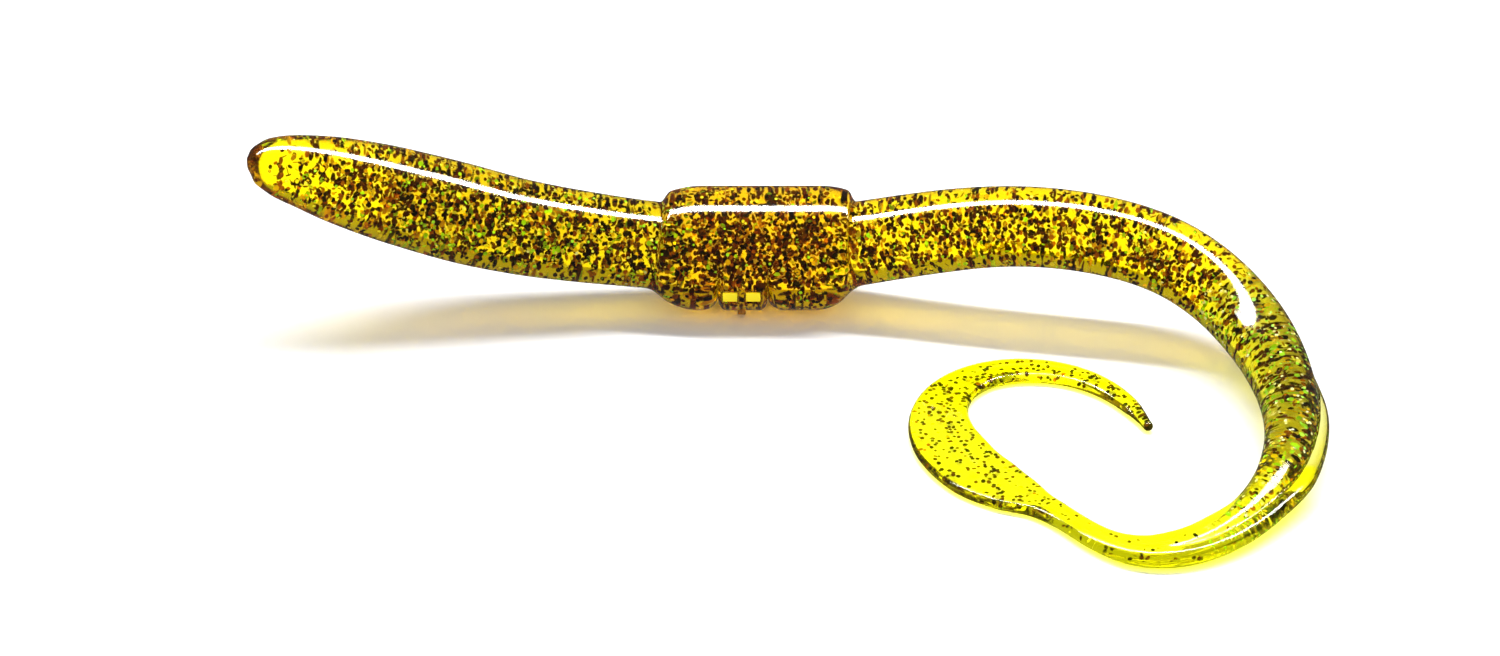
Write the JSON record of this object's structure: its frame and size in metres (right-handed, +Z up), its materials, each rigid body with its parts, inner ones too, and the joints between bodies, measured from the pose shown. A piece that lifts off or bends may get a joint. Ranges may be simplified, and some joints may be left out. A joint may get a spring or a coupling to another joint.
{
  "type": "soft plastic worm",
  "caption": "Ribbon-tail soft plastic worm: blunt round nose, round flexing body, raised egg sac with a gate button, and a flat beaded tail curled into a loop.",
  "frame": {"origin": "middle of the flat on the belly under the rear lobe of the egg sac, where the worm rests", "axes": "+X from the head towards the tail along the egg sac, +Z up, away from the surface it lies on, +Y away from the side the tail curls to"},
  "size_m": [0.0887, 0.0479, 0.0175],
  "materials": {
    "nose_plastisol": "translucent yellow soft plastic, glossy, few flakes",
    "body_plastisol": "translucent amber soft plastic, glossy, dense copper, black, gold and green flakes",
    "button_plastisol": "translucent amber soft plastic, glossy, clear yellow at its two recesses",
    "wrist_plastisol": "translucent olive-amber soft plastic, glossy, with a pale thin flange",
    "tail_plastisol": "thin translucent lemon-yellow soft plastic, glossy, sparse dark flakes lying flat"
  },
  "bodies": {
    "egg_sac": {"egg_sac_front_lobe": "body_plastisol", "egg_sac_saddle": "body_plastisol", "gate_button": "button_plastisol", "egg_sac_rear_lobe": "body_plastisol"},
    "nose": {"nose": "nose_plastisol"},
    "front_body_3": {"front_body_3": "body_plastisol"},
    "front_body_2": {"front_body_2": "body_plastisol"},
    "front_body_1": {"front_body_1": "body_plastisol"},
    "rear_body_1": {"rear_body_1": "body_plastisol"},
    "rear_body_2": {"rear_body_2": "body_plastisol"},
    "rear_body_3": {"rear_body_3": "body_plastisol"},
    "rear_body_4": {"rear_body_4": "body_plastisol"},
    "tail_wrist_1": {"tail_wrist_1": "wrist_plastisol"},
    "tail_wrist_2": {"tail_wrist_2": "wrist_plastisol"},
    "tail_blade_1": {"tail_blade_1": "tail_plastisol"},
    "tail_blade_2": {"tail_blade_2": "tail_plastisol"},
    "tail_blade_3": {"tail_blade_3": "tail_plastisol"},
    "tail_blade_4": {"tail_blade_4": "tail_plastisol"},
    "tail_blade_5": {"tail_blade_5": "tail_plastisol"},
    "tail_blade_6": {"tail_blade_6": "tail_plastisol"},
    "tail_tip": {"tail_tip": "tail_plastisol"}
  },
  "joints": [
    {"name": "front_bend_1", "type": "hinge", "parent": "egg_sac", "child": "front_body_1", "pos_m": [-0.01338, -0.00026, 0.00561], "axis": [-0.0701, 0.9975, 0], "range_deg": [-12, 18], "stiffness_Nm_per_rad": 0.006, "springref_deg": 2.58},
    {"name": "front_bend_2", "type": "hinge", "parent": "front_body_1", "child": "front_body_2", "pos_m": [-0.02252, -0.00087, 0.00726], "axis": [0, 0, 1], "range_deg": [-20, 20], "stiffness_Nm_per_rad": 0.006},
    {"name": "front_bend_3", "type": "hinge", "parent": "front_body_2", "child": "front_body_3", "pos_m": [-0.03151, -0.00151, 0.00996], "axis": [-0.099, 0.9951, 0], "range_deg": [-18, 18], "stiffness_Nm_per_rad": 0.006, "springref_deg": 0.46},
    {"name": "nose_bend", "type": "hinge", "parent": "front_body_3", "child": "nose", "pos_m": [-0.04051, -0.00291, 0.01354], "axis": [0, 0, 1], "range_deg": [-20, 20], "stiffness_Nm_per_rad": 0.004},
    {"name": "rear_bend_1", "type": "hinge", "parent": "egg_sac", "child": "rear_body_1", "pos_m": [0.00472, -0.00062, 0.0061], "axis": [0.1762, 0.9844, 0], "range_deg": [-15, 12], "stiffness_Nm_per_rad": 0.006, "springref_deg": -1.15},
    {"name": "rear_bend_2", "type": "hinge", "parent": "rear_body_1", "child": "rear_body_2", "pos_m": [0.01353, -0.00238, 0.00842], "axis": [0, 0, 1], "range_deg": [-18, 18], "stiffness_Nm_per_rad": 0.005},
    {"name": "rear_bend_3", "type": "hinge", "parent": "rear_body_2", "child": "rear_body_3", "pos_m": [0.02206, -0.004, 0.00906], "axis": [0.194, 0.981, 0], "range_deg": [-15, 15], "stiffness_Nm_per_rad": 0.005, "springref_deg": -0.29},
    {"name": "rear_bend_4", "type": "hinge", "parent": "rear_body_3", "child": "rear_body_4", "pos_m": [0.0304, -0.00634, 0.00752], "axis": [0, 0, 1], "range_deg": [-18, 18], "stiffness_Nm_per_rad": 0.0045},
    {"name": "wrist_bend_1", "type": "hinge", "parent": "rear_body_4", "child": "tail_wrist_1", "pos_m": [0.03666, -0.01317, 0.00461], "axis": [0, 0, 1], "range_deg": [-15, 20], "stiffness_Nm_per_rad": 0.0035},
    {"name": "wrist_bend_2", "type": "hinge", "parent": "tail_wrist_1", "child": "tail_wrist_2", "pos_m": [0.03855, -0.02464, 0.00307], "axis": [0.9983, -0.0579, 0], "range_deg": [-18, 15], "stiffness_Nm_per_rad": 0.002},
    {"name": "tail_curl", "type": "hinge", "parent": "tail_wrist_2", "child": "tail_blade_1", "pos_m": [0.03422, -0.03629, 0.00153], "axis": [0, 0, 1], "range_deg": [0, 24], "stiffness_Nm_per_rad": 0.0012},
    {"name": "tail_curl_2", "type": "hinge", "parent": "tail_blade_1", "child": "tail_blade_2", "pos_m": [0.02612, -0.04091, 0.00079], "axis": [0, 0, 1], "range_deg": [0, 24]},
    {"name": "tail_curl_3", "type": "hinge", "parent": "tail_blade_2", "child": "tail_blade_3", "pos_m": [0.01923, -0.03535, 0.00061], "axis": [0, 0, 1], "range_deg": [0, 24]},
    {"name": "tail_curl_4", "type": "hinge", "parent": "tail_blade_3", "child": "tail_blade_4", "pos_m": [0.01238, -0.02788, 0.0005], "axis": [0, 0, 1], "range_deg": [0, 24]},
    {"name": "tail_curl_5", "type": "hinge", "parent": "tail_blade_4", "child": "tail_blade_5", "pos_m": [0.01045, -0.0189, 0.0005], "axis": [0, 0, 1], "range_deg": [0, 24]},
    {"name": "tail_curl_6", "type": "hinge", "parent": "tail_blade_5", "child": "tail_blade_6", "pos_m": [0.0144, -0.01345, 0.0005], "axis": [0, 0, 1], "range_deg": [0, 24]},
    {"name": "tail_curl_7", "type": "hinge", "parent": "tail_blade_6", "child": "tail_tip", "pos_m": [0.0215, -0.0136, 0.0005], "axis": [0, 0, 1], "range_deg": [0, 24]}
  ],
  "couplings": [
    {"joint": "tail_curl_2", "follows": "tail_curl", "ratio": 1},
    {"joint": "tail_curl_3", "follows": "tail_curl", "ratio": 1},
    {"joint": "tail_curl_4", "follows": "tail_curl", "ratio": 1},
    {"joint": "tail_curl_5", "follows": "tail_curl", "ratio": 1},
    {"joint": "tail_curl_6", "follows": "tail_curl", "ratio": 1},
    {"joint": "tail_curl_7", "follows": "tail_curl", "ratio": 1}
  ]
}
